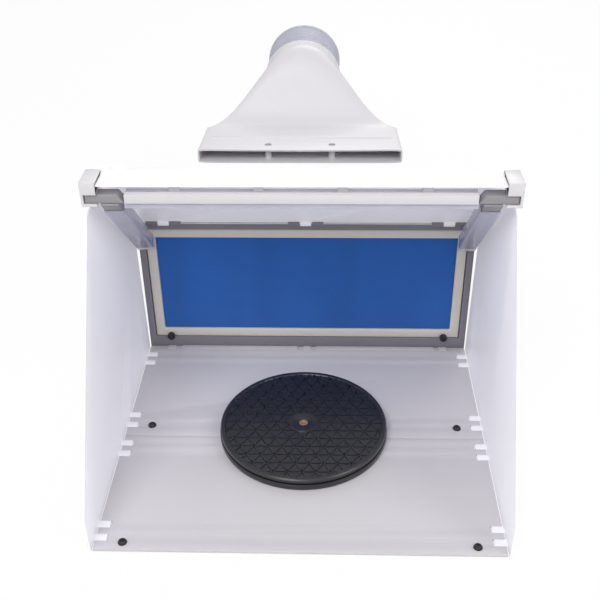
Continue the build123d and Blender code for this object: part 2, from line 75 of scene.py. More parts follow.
# ------------------------------------------------------------------ shader maths
class Signal:
    """A shader socket that can be used in ordinary arithmetic."""

    def __init__(self, tree, socket):
        self.tree = tree
        self.socket = socket

    def _maths(self, operation, first, second=None):
        node = self.tree.nodes.new("ShaderNodeMath")
        node.operation = operation
        for slot, value in enumerate((first, second)):
            if isinstance(value, Signal):
                self.tree.links.new(value.socket, node.inputs[slot])
            elif value is not None:
                node.inputs[slot].default_value = value
        return Signal(self.tree, node.outputs[0])

    def __add__(self, other):
        return self._maths("ADD", self, other)

    def __radd__(self, other):
        return self._maths("ADD", other, self)

    def __sub__(self, other):
        return self._maths("SUBTRACT", self, other)

    def __rsub__(self, other):
        return self._maths("SUBTRACT", other, self)

    def __mul__(self, other):
        return self._maths("MULTIPLY", self, other)

    def __rmul__(self, other):
        return self._maths("MULTIPLY", other, self)

    def __pow__(self, other):
        return self._maths("POWER", self, other)


class Finish:
    """A material built node by node on the object's own coordinates."""

    def __init__(self, name):
        self.material = bpy.data.materials.new(name)
        self.material.use_nodes = True
        self.tree = self.material.node_tree
        self.tree.nodes.clear()
        self.place = self.node("ShaderNodeTexCoord")["Object"]

    def node(self, kind, settings=None, inputs=None):
        """Add one node: its settings first, then the values or links of its sockets."""
        made = self.tree.nodes.new(kind)
        for key, value in (settings or {}).items():
            if key == "stops":
                self._stops(made.color_ramp, value)
            else:
                setattr(made, key, value)
        for key, value in (inputs or {}).items():
            if isinstance(value, Signal):
                self.tree.links.new(value.socket, made.inputs[key])
            else:
                made.inputs[key].default_value = value
        return {out.name: Signal(self.tree, out) for out in made.outputs if out.enabled}

    def _stops(self, ramp, stops):
        while len(ramp.elements) < len(stops):
            ramp.elements.new(0.5)
        for element, (position, colour) in zip(ramp.elements, stops):
            element.position = position
            element.color = colour

    def stretched(self, scale):
        """The object's coordinates, scaled separately along each axis."""
        return self.node("ShaderNodeMapping", None, {"Vector": self.place, "Scale": scale})["Vector"]

    def noise(self, scale, detail=3.0, place=None):
        inputs = {"Vector": place or self.place, "Scale": scale, "Detail": detail}
        return self.node("ShaderNodeTexNoise", None, inputs)["Fac"]

    def between(self, share, low, high):
        """A number that runs from low to high as share runs from 0 to 1."""
        inputs = {"Value": share, "To Min": low, "To Max": high}
        return self.node("ShaderNodeMapRange", None, inputs)["Result"]

    def blend(self, share, first, second):
        """A colour that runs from first to second."""
        node = self.tree.nodes.new("ShaderNodeMix")
        node.data_type = "RGBA"
        self.tree.links.new(share.socket, node.inputs[0])
        for slot, colour in ((6, first), (7, second)):
            if isinstance(colour, Signal):
                self.tree.links.new(colour.socket, node.inputs[slot])
            else:
                node.inputs[slot].default_value = colour
        return Signal(self.tree, node.outputs[2])

    def bump(self, height, distance, strength=0.5):
        inputs = {"Height": height, "Distance": distance, "Strength": strength}
        return self.node("ShaderNodeBump", None, inputs)["Normal"]

    def shade(self, inputs):
        """Close the material with a Principled shader."""
        shader = self.node("ShaderNodeBsdfPrincipled", None, inputs)["BSDF"]
        self.node("ShaderNodeOutputMaterial", None, {"Surface": shader})
        return self.material


def tint(colour, factor):
    """The same colour, lighter or darker, with full alpha."""
    return tuple(min(1.0, channel * factor) for channel in colour[:3]) + (1.0,)


def moulded_plastic(name, colour, roughness, grain=900.0, relief=0.00006, drift=0.06, coat=0.0):
    """Moulded plastic: spark-eroded grain, faint flow clouds and rubbed spots."""
    f = Finish(name)
    cloud = f.noise(9.0, 4.0)
    fine = f.noise(grain, 2.0)
    rub = f.noise(60.0, 5.0)
    base = f.blend(cloud, tint(colour, 1 - drift), tint(colour, 1 + drift))
    inputs = {
        "Base Color": f.blend(fine, base, tint(colour, 1.03)),
        "Roughness": f.between(rub, roughness - 0.07, roughness + 0.08),
        "Normal": f.bump(fine, relief),
        "Coat Weight": coat,
        "Coat Roughness": 0.15,
    }
    return f.shade(inputs)


def clear_sheet(name, colour, alpha, roughness):
    """Milky translucent sheet with faint extrusion streaks and a faint painted glow."""
    f = Finish(name)
    streak = f.noise(14.0, 3.0, f.stretched((1.0, 6.0, 0.6)))
    haze = f.noise(5.0, 2.0)
    inputs = {
        "Base Color": f.blend(haze, tint(colour, 0.97), tint(colour, 1.02)),
        "Roughness": f.between(streak, roughness - 0.06, roughness + 0.1),
        "Alpha": f.between(haze, alpha - 0.03, alpha + 0.03),
        # Painted glow: the sheet gives off a little light of its own, though it is no lamp.
        "Emission Color": tint(colour, 1.1),
        "Emission Strength": 0.14,
        "Normal": f.bump(streak, 0.0003, 0.25),
        "IOR": 1.49,
    }
    return f.shade(inputs)


def clear_tube(name, colour, alpha, ribs=0.0):
    """Clear tinted plastic with drawn lines along it."""
    f = Finish(name)
    line = f.noise(70.0, 2.0, f.stretched((8.0, 1.0, 1.0)))
    haze = f.noise(30.0, 3.0)
    inputs = {
        "Base Color": f.blend(haze, tint(colour, 0.93), tint(colour, 1.06)),
        "Roughness": f.between(line, 0.14, 0.3),
        "Alpha": f.between(haze, alpha - 0.06, alpha + 0.06),
        "Normal": f.bump(line, 0.0002 + ribs, 0.3),
        "IOR": 1.5,
    }
    return f.shade(inputs)


def felt(name, colour):
    """Blue filter felt: fibres, mottling and soft upright bands."""
    f = Finish(name)
    band = f.noise(11.0, 2.0, f.stretched((1.0, 1.0, 0.12)))
    mottle = f.noise(38.0, 5.0)
    fibre = f.noise(1100.0, 4.0, f.stretched((1.0, 1.0, 0.35)))
    mixed = f.blend(f.between(band, -0.6, 1.6), tint(colour, 0.5), tint(colour, 1.05))
    mixed = f.blend(f.between(mottle, 0.0, 0.55), mixed, tint(colour, 0.8))
    mixed = f.blend(f.between(fibre, 0.0, 0.35), mixed, tint(colour, 1.35))
    relief = fibre * 0.6 + mottle * 0.9
    inputs = {
        "Base Color": mixed,
        "Roughness": f.between(mottle, 0.86, 0.98),
        "Normal": f.bump(relief, 0.0007, 0.7),
        "Sheen Weight": 0.25,
        "Sheen Roughness": 0.5,
    }
    return f.shade(inputs)


def metal(name, colour, roughness):
    """Turned or pressed metal with fine scratches."""
    f = Finish(name)
    scratch = f.noise(420.0, 3.0, f.stretched((1.0, 7.0, 1.0)))
    stain = f.noise(55.0, 4.0)
    inputs = {
        "Base Color": f.blend(stain, tint(colour, 0.8), tint(colour, 1.12)),
        "Metallic": 1.0,
        "Roughness": f.between(scratch, roughness - 0.08, roughness + 0.14),
        "Normal": f.bump(scratch, 0.00005, 0.4),
    }
    return f.shade(inputs)


def glossy_black(name, colour):
    """Semi-gloss black plastic with fine swirl marks and a little dust."""
    f = Finish(name)
    swirl = f.noise(260.0, 4.0)
    dust = f.noise(700.0, 2.0)
    speck = f.between(dust ** 9.0, 0.0, 6.0)
    inputs = {
        "Base Color": f.blend(speck, tint(colour, 1.0), tint(colour, 2.4)),
        "Roughness": f.between(swirl, 0.26, 0.42),
        "Normal": f.bump(swirl, 0.00003, 0.3),
        "Coat Weight": 0.25,
        "Coat Roughness": 0.2,
    }
    return f.shade(inputs)


# ------------------------------------------------------------------ settings
def colour_setting(name, description, default):
    return bpy.props.FloatVectorProperty(
        name=name, description=description, default=default, size=3, min=0, max=1, subtype="COLOR"
    )


def length_setting(name, description, default):
    return bpy.props.FloatProperty(
        name=name, description=description, default=default, min=0.0, unit="LENGTH", subtype="DISTANCE"
    )


class BoothColours(bpy.types.PropertyGroup):
    """Colours of the booth's plastics, felt and metals."""

    base: colour_setting("Base", "Pale grey of the base plates", (0.58, 0.56, 0.59))
    housing: colour_setting("Housing", "Grey of the fan housing's front frame", (0.215, 0.205, 0.235))
    shell: colour_setting("Shell", "Light grey of the fan housing's rear shell", (0.50, 0.49, 0.51))
    sheet: colour_setting("Sheet", "Milky white of the walls and hood", (0.86, 0.85, 0.89))
    bar: colour_setting("Light bar", "Light grey of the light bar and latches", (0.62, 0.605, 0.62))
    # The bar ends' mid grey is painted shade: the caps are the bar's light grey plastic, darker only where
    # their rounded ends turn from the light.
    bar_end_shaded: colour_setting("Bar ends", "Mid grey of the bar's end caps", (0.25, 0.24, 0.25))
    tube: colour_setting("Light tube", "Lavender tint of the light tubes", (0.60, 0.60, 0.72))
    card: colour_setting("Filter frame", "Cream of the filter's frame", (0.66, 0.63, 0.58))
    felt: colour_setting("Felt", "Blue of the filter felt", (0.012, 0.125, 0.50))
    duct: colour_setting("Duct", "Pale grey of the exhaust adapter", (0.64, 0.625, 0.65))
    hose: colour_setting("Hose", "Blue-grey tint of the clear hose", (0.52, 0.53, 0.62))
    black: colour_setting("Black", "Black of the turntable", (0.014, 0.014, 0.018))
    rubber: colour_setting("Rubber", "Black of the rubber bumpers", (0.012, 0.012, 0.013))
    brass: colour_setting("Brass", "Warm metal of the turntable screw", (0.72, 0.45, 0.27))
    chip: colour_setting("Light chip", "Yellow of the unlit light chips", (0.80, 0.62, 0.22))


class BoothSizes(bpy.types.PropertyGroup):
    """Sizes of the finishing details."""

    edge: length_setting("Edge radius", "Radius of the moulded edges", 0.5 * MM)
    rib: length_setting("Rib height", "Height of the turntable's lattice ribs", 0.95 * MM)
    rib_pitch: length_setting("Rib pitch", "Distance between the lattice ribs", 13.0 * MM)
    fold: length_setting("Hose fold", "Distance between the hose's folds", 8.2 * MM)
    chip: length_setting("Chip size", "Size of one light chip", 3.0 * MM)
    camera_lens: bpy.props.FloatProperty(
        name="Lens", description="Focal length of the camera", default=53.43, min=10, subtype="DISTANCE_CAMERA"
    )


FINISHES = {}


def make_finishes():
    """Every material of the object, by its plain name."""
    c = bpy.context.scene.booth_colours
    FINISHES["base"] = moulded_plastic("base_plastic", c.base, 0.42, 1400.0, 0.00004, 0.02)
    FINISHES["housing"] = moulded_plastic("housing_grey", c.housing, 0.45)
    FINISHES["shell"] = moulded_plastic("housing_light", c.shell, 0.45)
    FINISHES["bar"] = moulded_plastic("bar_plastic", c.bar, 0.36, 1200.0, 0.00003, 0.02)
    # Painted shade: the end caps get a darker grey than the bar, standing in for the shade on their rounded
    # ends.
    FINISHES["bar_end_shaded"] = moulded_plastic("bar_end_grey", c.bar_end_shaded, 0.38)
    FINISHES["card"] = moulded_plastic("filter_card", c.card, 0.55, 700.0, 0.00008, 0.04)
    FINISHES["duct"] = moulded_plastic("duct_plastic", c.duct, 0.40, 1100.0, 0.00004, 0.015)
    FINISHES["rubber"] = moulded_plastic("rubber_black", c.rubber, 0.5, 800.0, 0.00008, 0.2)
    FINISHES["moulded_black"] = moulded_plastic("fan_black", (0.022, 0.022, 0.024), 0.45)
    FINISHES["board"] = moulded_plastic("led_board", (0.66, 0.66, 0.70), 0.4)
    FINISHES["sheet"] = clear_sheet("clear_white_sheet", c.sheet, 0.86, 0.32)
    FINISHES["tube"] = clear_tube("light_tube", c.tube, 0.62)
    FINISHES["hose"] = clear_tube("hose_plastic", c.hose, 0.80)
    FINISHES["felt"] = felt("filter_blue", c.felt)
    FINISHES["black"] = glossy_black("turntable_black", c.black)
    FINISHES["steel"] = metal("steel", (0.55, 0.55, 0.56), 0.3)
    FINISHES["motor"] = metal("motor_metal", (0.30, 0.30, 0.31), 0.42)
    FINISHES["brass"] = metal("brass", c.brass, 0.26)
    FINISHES["chip"] = moulded_plastic("light_chip", c.chip, 0.3)


# ------------------------------------------------------------------ making pieces
def deselect():
    if bpy.context.object and bpy.context.object.mode != "OBJECT":
        bpy.ops.object.mode_set(mode="OBJECT")
    bpy.ops.object.select_all(action="DESELECT")


def settle(piece, name):
    """Put the piece's place into its mesh, so that its object sits at the origin."""
    piece.name = name
    bpy.ops.object.transform_apply(location=True, rotation=True, scale=True)
    return piece


def make_active(piece):
    deselect()
    piece.select_set(True)
    bpy.context.view_layer.objects.active = piece


def block(name, low, high):
    """A cube primitive stretched between two corners."""
    deselect()
    low, high = Vector(low), Vector(high)
    bpy.ops.mesh.primitive_cube_add(size=1, location=(low + high) / 2, scale=high - low)
    return settle(bpy.context.object, name)


def drum(name, radius, centre, depth, axis="Z", sides=64):
    """A cylinder primitive along one axis."""
    deselect()
    turn = {"X": (0, math.pi / 2, 0), "Y": (math.pi / 2, 0, 0), "Z": (0, 0, 0)}[axis]
    bpy.ops.mesh.primitive_cylinder_add(
        vertices=sides, radius=radius, depth=depth, location=centre, rotation=turn
    )
    return settle(bpy.context.object, name)


def leave_edit():
    bpy.ops.object.mode_set(mode="OBJECT")


def modify(piece, kind, **settings):
    """Add one modifier and apply it."""
    make_active(piece)
    modifier = piece.modifiers.new(kind.lower(), kind)
    for key, value in settings.items():
        setattr(modifier, key, value)
    bpy.ops.object.modifier_apply(modifier=modifier.name)
    return piece


def soften(piece, width=None, segments=2, angle=40):
    """Round the sharp edges and smooth the faces between them."""
    width = bpy.context.scene.booth_sizes.edge if width is None else width
    if width:
        modify(
            piece, "BEVEL", width=width, segments=segments, limit_method="ANGLE",
            angle_limit=math.radians(angle), use_clamp_overlap=True,
        )
    make_active(piece)
    bpy.ops.object.shade_smooth_by_angle(angle=math.radians(34))
    return piece


def join(name, pieces):
    """One piece from several."""
    deselect()
    for piece in pieces:
        piece.select_set(True)
    bpy.context.view_layer.objects.active = pieces[0]
    bpy.ops.object.join()
    pieces[0].name = name
    return pieces[0]


def copy_of(piece, name, matrix):
    """A copy with its own mesh, carried by a matrix."""
    twin = piece.copy()
    twin.data = piece.data.copy()
    twin.data.transform(matrix)
    if matrix.determinant() < 0:
        twin.data.flip_normals()
    twin.name = name
    bpy.context.scene.collection.objects.link(twin)
    return twin


def from_node(node, name=None):
    """A merged copy of a construction node, ready to be finished."""
    mesh = frame["nodes"][node].data.copy()
    mesh.materials.clear()
    piece = bpy.data.objects.new(name or f"{node}_finished", mesh)
    bpy.context.scene.collection.objects.link(piece)
    make_active(piece)
    bpy.ops.object.mode_set(mode="EDIT")
    bpy.ops.mesh.select_all(action="SELECT")
    bpy.ops.mesh.remove_doubles(threshold=0.00001)
    bpy.ops.mesh.dissolve_limited(angle_limit=math.radians(1.0))
    leave_edit()
    return piece


def lathe(name, profile, centre, axis, steps=48):
    """Spin a closed or open (radius, height) profile round an axis."""
    mesh = bpy.data.meshes.new(name)
    side = {"X": Vector((0, 0, 1)), "Y": Vector((0, 0, 1)), "Z": Vector((1, 0, 0))}[axis]
    along = {"X": Vector((1, 0, 0)), "Y": Vector((0, 1, 0)), "Z": Vector((0, 0, 1))}[axis]
    centre = Vector(centre)
    points = [centre + side * radius + along * height for radius, height in profile]
    mesh.from_pydata(points, [(i, i + 1) for i in range(len(points) - 1)], [])
    piece = bpy.data.objects.new(name, mesh)
    bpy.context.scene.collection.objects.link(piece)
    make_active(piece)
    bpy.ops.object.mode_set(mode="EDIT")
    bpy.ops.mesh.select_all(action="SELECT")
    bpy.ops.mesh.spin(steps=steps, angle=2 * math.pi, center=centre, axis=along)
    bpy.ops.mesh.select_all(action="SELECT")
    bpy.ops.mesh.remove_doubles(threshold=0.000005)
    bpy.ops.mesh.normals_make_consistent(inside=False)
    leave_edit()
    bpy.ops.object.shade_smooth_by_angle(angle=math.radians(34))
    return piece


def loft(name, rings):
    """A skin over matching rings of points."""
    count = len(rings[0])
    faces = []
    for row in range(len(rings) - 1):
        for i in range(count):
            j = (i + 1) % count
            here, above = row * count, (row + 1) * count
            faces.append((here + i, here + j, above + j, above + i))
    mesh = bpy.data.meshes.new(name)
    mesh.from_pydata([point for ring in rings for point in ring], [], faces)
    piece = bpy.data.objects.new(name, mesh)
    bpy.context.scene.collection.objects.link(piece)
    make_active(piece)
    bpy.ops.object.mode_set(mode="EDIT")
    bpy.ops.mesh.select_all(action="SELECT")
    bpy.ops.mesh.normals_make_consistent(inside=False)
    leave_edit()
    return piece


def cut(piece, cutter):
    """Cut one piece with another, which is used up."""
    modify(piece, "BOOLEAN", operation="DIFFERENCE", solver="EXACT", object=cutter)
    bpy.data.objects.remove(cutter)
    return piece


def hand_over(piece, body, finish, slot, *nodes):
    """Give the piece its finish and its body, and hide the nodes that it stands for."""
    piece.data.materials.clear()
    piece.data.materials.append(FINISHES[finish])
    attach(piece, body)
    if nodes:
        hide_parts(*nodes)
    return piece


SLOT_FINISH = {
    "base_plastic": "base", "housing_grey": "housing", "housing_light": "shell", "rubber_black": "rubber",
    "turntable_black": "black", "steel": "steel", "brass": "brass", "filter_card": "card",
    "filter_blue": "felt", "clear_white_sheet": "sheet", "bar_plastic": "bar", "bar_end_grey": "bar_end_shaded",
    "diffuser": "tube", "led_board": "board", "fan_black": "moulded_black", "motor_metal": "motor",
    "duct_plastic": "duct", "hose_plastic": "hose",
}
NODE_SLOT = {part["node"]: part["material_slot"] for part in frame["record"]["subparts"]}
NODE_BODY = {node: body for body, nodes in frame["record"]["behaviour"]["bodies"].items() for node in nodes}


def finish_node(node, width=None):
    """Replace a node with a copy of itself that has rounded edges and its finish."""
    slot = NODE_SLOT[node]
    piece = soften(from_node(node), width)
    return hand_over(piece, NODE_BODY[node], SLOT_FINISH[slot], slot, node)


def paint_node(node):
    """Leave a node's shape as it is and give it its finish."""
    data = frame["nodes"][node].data
    data.materials.clear()
    data.materials.append(FINISHES[SLOT_FINISH[NODE_SLOT[node]]])


# ------------------------------------------------------------------ the pieces
class BOOTH_OT_base(bpy.types.Operator):
    """Base plates with rounded edges, hinge tongues and rubber bumpers"""

    bl_idname = "booth.base"
    bl_label = "Base"

    def execute(self, context):
        for node in ("base_front_panel", "base_rear_panel"):
            finish_node(node, 0.35 * MM)
        low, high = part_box("base_rear_panel")
        for i, (x0, x1) in enumerate(HINGE_TONGUES):
            start = (x0 * MM, high.y - 7 * MM, high.z)
            tongue = block(f"hinge_tongue_{i}", start, (x1 * MM, high.y, high.z + MM))
            soften(tongue, 0.3 * MM)
            hand_over(tongue, "booth", "base", "base_plastic")
        bottom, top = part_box("base_bumpers")
        radius = 4.6 * MM
        rise = top.z - bottom.z
        profile = [(0, rise * 0.7), (radius * 0.25, rise * 0.72)]
        profile += [(radius * 0.32, rise), (radius * 0.6, rise * 0.97)]
        profile += [(radius * 0.8, rise * 0.72), (radius * 0.95, rise * 0.3), (radius, 0), (0, 0)]
        dome = lathe("bumper_0", profile, (bottom.x + radius, bottom.y + radius, bottom.z), "Z", 32)
        domes = [dome]
        pitch_x = top.x - bottom.x - 2 * radius
        pitch_y = top.y - bottom.y - 2 * radius
        for dx, dy in ((1, 0), (0, 1), (1, 1)):
            span = Vector((dx * pitch_x, dy * pitch_y, 0))
            domes.append(copy_of(dome, f"bumper_{dx}{dy}", Matrix.Translation(span)))
        turned = join("base_bumpers_turned", domes)
        hand_over(turned, "booth", "rubber", "rubber_black", "base_bumpers")
        finish_node("filter_retainers", 0.8 * MM)
        return {"FINISHED"}


class BOOTH_OT_turntable(bpy.types.Operator):
    """Turntable: rimmed top with a triangular lattice, boss, lower disc and screw"""

    bl_idname = "booth.turntable"
    bl_label = "Turntable"

    def execute(self, context):
        sizes = context.scene.booth_sizes
        low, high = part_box("turntable_upper_disc")
        centre = (low + high) / 2
        radius = (high.x - low.x) / 2
        rise = high.z - low.z
        floor = rise - 1.0 * MM
        rim = radius - 5 * MM
        boss = 16 * MM
        well = 5.4 * MM
        profile = [(0, 0), (radius - 0.8 * MM, 0), (radius, 0.9 * MM), (radius, rise - 1.3 * MM)]
        profile += [(radius - 1.2 * MM, rise), (rim, rise), (rim - 0.8 * MM, floor)]
        profile += [(boss + 0.8 * MM, floor), (boss, rise), (well + MM, rise)]
        profile += [(well, rise - 0.6 * MM), (well, rise - 1.7 * MM)]
        profile += [(0, rise - 1.7 * MM)]
        disc = lathe("turntable_top", profile, (centre.x, centre.y, low.z), "Z", 96)
        hand_over(disc, "turntable", "black", "turntable_black", "turntable_upper_disc")
        ribs = []
        reach = rim - 0.6 * MM
        for turn in range(3):
            spin = Matrix.Translation(centre) @ Matrix.Rotation(math.radians(60 * turn), 4, "Z")
            spin = spin @ Matrix.Translation(-centre)
            count = int(reach / sizes.rib_pitch)
            for i in range(-count, count + 1):
                offset = i * sizes.rib_pitch
                half = math.sqrt(max(reach * reach - offset * offset, 0))
                inner = math.sqrt(max(boss * boss - offset * offset, 0))
                for start, end in ((-half, -inner), (inner, half)) if inner else ((-half, half),):
                    rib = block(
                        f"rib_{turn}_{i}_{start > 0}",
                        (centre.x + start, centre.y + offset - 0.85 * MM, low.z + floor - 0.2 * MM),
                        (centre.x + end, centre.y + offset + 0.85 * MM, low.z + floor + sizes.rib),
                    )
                    rib.data.transform(spin)
                    ribs.append(rib)
        peg_count = 18
        peg_ring = 0.62 * radius
        for i in range(peg_count):
            turn = math.radians(360 / peg_count * i + 4)
            x = centre.x + peg_ring * math.cos(turn)
            y = centre.y + peg_ring * math.sin(turn)
            spot = (x, y, low.z + floor + 0.3 * MM)
            ribs.append(drum(f"peg_{i}", 1.5 * MM, spot, 1.0 * MM, "Z", 10))
        lattice = soften(join("turntable_lattice", ribs), 0)
        hand_over(lattice, "turntable", "black", "turntable_black")
        for node in ("turntable_lower_disc", "turntable_screw", "turntable_feet"):
            finish_node(node, 0.6 * MM if "disc" in node else 0.15 * MM)
        return {"FINISHED"}


class BOOTH_OT_filter(bpy.types.Operator):
    """Filter: bevelled card frame and creased felt pad"""

    bl_idname = "booth.filter"
    bl_label = "Filter"

    def execute(self, context):
        finish_node("filter_frame", 1.6 * MM)
        low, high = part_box("filter_pad")
        pad = block("filter_felt", low, high)
        make_active(pad)
        bpy.ops.object.mode_set(mode="EDIT")
        bpy.ops.mesh.select_all(action="SELECT")
        bpy.ops.mesh.subdivide(number_cuts=60)
        leave_edit()
        for vertex in pad.data.vertices:
            x = (vertex.co.x - low.x) / (high.x - low.x)
            z = (vertex.co.z - low.z) / (high.z - low.z)
            if vertex.co.y < low.y + 1e-5:
                edge = min(x, 1 - x, z, 1 - z)
                crease = 0.35 * math.sin(19 * x + 3 * math.sin(5 * z)) + 0.3 * math.sin(31 * z + 4 * x)
                vertex.co.y -= (1.4 * min(1.0, edge * 9) + 0.5 * crease * min(1.0, edge * 6)) * MM
        soften(pad, 0)
        hand_over(pad, "booth", "felt", "filter_blue", "filter_pad")
        return {"FINISHED"}


class BOOTH_OT_sheets(bpy.types.Operator):
    """Translucent walls and hood with their creases and hinge fingers"""

    bl_idname = "booth.sheets"
    bl_label = "Walls and Hood"

    def execute(self, context):
        for node in ("wall_left", "wall_right", "hood_rear_panel", "hood_front_panel"):
            finish_node(node, 0.5 * MM)
        low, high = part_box("hood_front_panel")
        fingers = []
        for i, (x0, x1) in enumerate(HOOD_FINGERS):
            start = (x0 * MM, high.y - 6 * MM, high.z - MM)
            end = (x1 * MM, high.y + 0.4 * MM, high.z + 0.9 * MM)
            fingers.append(soften(block(f"finger_{i}", start, end), 0.4 * MM))
        hand_over(join("hood_fingers", fingers), "hood", "sheet", "clear_white_sheet")
        return {"FINISHED"}


class BOOTH_OT_lights(bpy.types.Operator):
    """Light frame: bar, slanted end caps, clear tubes, boards and light chips"""

    bl_idname = "booth.lights"
    bl_label = "Light Frame"

    def chips(self, name, spots, turn):
        """Small yellow chips, each a bevelled block turned with its board."""
        size = bpy.context.scene.booth_sizes.chip
        made = []
        for i, spot in enumerate(spots):
            chip = block(f"{name}_{i}", (-size / 2, -size / 2, -0.4 * MM), (size / 2, size / 2, 0.4 * MM))
            chip.data.transform(Matrix.Translation(spot) @ turn)
            made.append(chip)
        return hand_over(soften(join(name, made), 0.15 * MM), "hood", "chip", "led_board")

    def execute(self, context):
        finish_node("light_bar", 0.9 * MM)
        for side, label in ((-1, "left"), (1, "right")):
            low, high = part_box(f"bar_cap_{label}")
            # Each end cap takes the darker grey, which is painted shade.
            cap = block(f"bar_end_{label}", low, high)
            inner = high.x if side < 0 else low.x
            for vertex in cap.data.vertices:
                if abs(vertex.co.x - inner) < 1e-5 and vertex.co.z > high.z - 1e-5:
                    vertex.co.x += side * 7 * MM
            soften(cap, 1.4 * MM, 3)
            hand_over(cap, "hood", "bar_end_shaded", "bar_end_grey", f"bar_cap_{label}")
            for part in ("tube", "socket", "foot"):
                finish_node(f"arm_{part}_{label}", 1.1 * MM if part == "tube" else 0.5 * MM)
            bottom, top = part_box(f"arm_led_strip_{label}")
            run = Vector((0, top.y - bottom.y, bottom.z - top.z)).normalized()
            face = Vector((0, run.z, -run.y))
            turn = run.rotation_difference(Vector((0, 1, 0))).inverted().to_matrix().to_4x4()
            centre = (bottom + top) / 2
            length = math.hypot(top.y - bottom.y, top.z - bottom.z)
            spots = []
            for i in range(9):
                share = (i - 4) / 9.5
                splay = side * share * (top.x - bottom.x - 12 * MM)
                spots.append(centre + run * length * share + face * 0.75 * MM + Vector((splay, 0, 0)))
            self.chips(f"arm_chips_{label}", spots, turn)
            paint_node(f"arm_led_strip_{label}")
        low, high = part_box("bar_led_strip")
        chip_count = 24
        spots = []
        for i in range(chip_count):
            x = low.x + (high.x - low.x) * (i + 0.5) / chip_count
            spots.append(Vector((x, (low.y + high.y) / 2, low.z)))
        self.chips("bar_chips", spots, Matrix.Identity(4))
        finish_node("bar_diffuser", 0.5 * MM)
        for label in ("left", "right"):
            finish_node(f"latch_{label}", 0.6 * MM)
        return {"FINISHED"}


class BOOTH_OT_duct(bpy.types.Operator):
    """Exhaust adapter, its ridge, posts and collar rings, and the folded hose"""

    bl_idname = "booth.duct"
    bl_label = "Exhaust Duct"

    def ring(self, x, y, bottom, half_width, height, power):
        """Rounded outline: a high power is boxy, and two is round."""
        points = []
        for i in range(128):
            turn = 2 * math.pi * i / 128
            c, s = math.cos(turn), math.sin(turn)
            wide = half_width * math.copysign(abs(c) ** (2 / power), c)
            tall = height / 2 * math.copysign(abs(s) ** (2 / power), s)
            points.append(Vector((x + wide, y, bottom + height / 2 + tall)))
        return points

    def execute(self, context):
        low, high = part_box("duct_mouth")
        neck_low, neck_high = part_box("duct_neck")
        collar_low, collar_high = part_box("duct_collar")
        x = (collar_low.x + collar_high.x) / 2
        bore = (collar_high.x - collar_low.x) / 2
        mouth = (high.x - low.x) / 2
        thick = high.z - low.z
        taper = 3.5 * MM
        rings = []
        for i in range(7):
            y = low.y + (high.y - low.y) * i / 6
            rings.append(self.ring(x, y, low.z, mouth - taper * i / 6, thick, 14))
        for i in range(1, 25):
            t = i / 24
            width = bore + (mouth - taper - bore) * (1 - t) ** 1.7
            tall = thick + (2 * bore - thick) * t * t * (3 - 2 * t)
            power = 2 + 12 * (1 - t) ** 2.2
            y = high.y + (neck_high.y - high.y) * t
            rings.append(self.ring(x, y, low.z, width, tall, power))
        for i in range(1, 27):
            t = i / 26
            groove = 2.0 * MM if i % 7 in (2, 3) else 0.0
            y = collar_low.y + (collar_high.y - collar_low.y) * t
            rings.append(self.ring(x, y, low.z + groove, bore - groove, 2 * (bore - groove), 2))
        for point in rings[0]:
            if point.z > low.z + thick / 2:
                sag = max(0.0, 1 - ((point.x - x) / mouth) ** 2)
                point.z -= 1.6 * MM * sag
        skin = loft("duct_shell", rings)
        modify(skin, "SOLIDIFY", thickness=2.2 * MM, offset=-1)
        posts = [x - 45 * MM, x + 45 * MM]
        for spot in posts:
            cut(skin, drum("hole", 5.0 * MM, (spot, low.y + 17 * MM, high.z), 12 * MM, "Z", 32))
        make_active(skin)
        bpy.ops.object.shade_smooth_by_angle(angle=math.radians(34))
        hand_over(skin, "duct", "duct", "duct_plastic", "duct_mouth", "duct_neck", "duct_collar")
        for i, spot in enumerate(posts):
            profile = [(0, 0), (5.2 * MM, 0), (3.4 * MM, thick - 3 * MM)]
            profile += [(2.0 * MM, thick - 3 * MM), (2.0 * MM, 6 * MM), (0, 6 * MM)]
            foot = (spot, low.y + 16 * MM, low.z + 1.2 * MM)
            post = lathe(f"duct_post_{i}", profile, foot, "Z", 32)
            hand_over(post, "duct", "duct", "duct_plastic")
        start = (x - 132 * MM, low.y + 37 * MM, high.z - 0.4 * MM)
        end = (x + 132 * MM, low.y + 46 * MM, high.z + 2.2 * MM)
        ridge = block("duct_ridge", start, end)
        for vertex in ridge.data.vertices:
            if vertex.co.z > high.z:
                vertex.co.x -= math.copysign(9 * MM, vertex.co.x - x)
                vertex.co.y += 2.2 * MM if vertex.co.y < low.y + 41 * MM else -2.2 * MM
        soften(ridge, 0.3 * MM)
        hand_over(ridge, "duct", "duct", "duct_plastic")
        start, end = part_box("duct_hose")
        radius = (end.x - start.x) / 2
        depth = 3.2 * MM
        root = radius - 4.4 * MM
        outer, inner = [], []
        steps = int((end.y - collar_high.y) / context.scene.booth_sizes.fold) * 8
        for i in range(steps + 1):
            t = i / steps
            wave = 0.5 - 0.5 * math.cos(t * steps / 8 * 2 * math.pi)
            along = collar_high.y - start.y + (end.y - collar_high.y) * t
            outer.append((radius - depth + depth * wave ** 0.6, along))
            inner.append((outer[-1][0] - 1.2 * MM, outer[-1][1]))
        profile = [(root, 0), (radius - 3.4 * MM, 0)] + outer + inner[::-1] + [(root, 0)]
        hose = lathe("duct_hose_folds", profile, (x, start.y, (start.z + end.z) / 2), "Y", 72)
        hand_over(hose, "duct", "hose", "hose_plastic", "duct_hose")
        finish_node("duct_hose_cuff", 1.0 * MM)
        return {"FINISHED"}


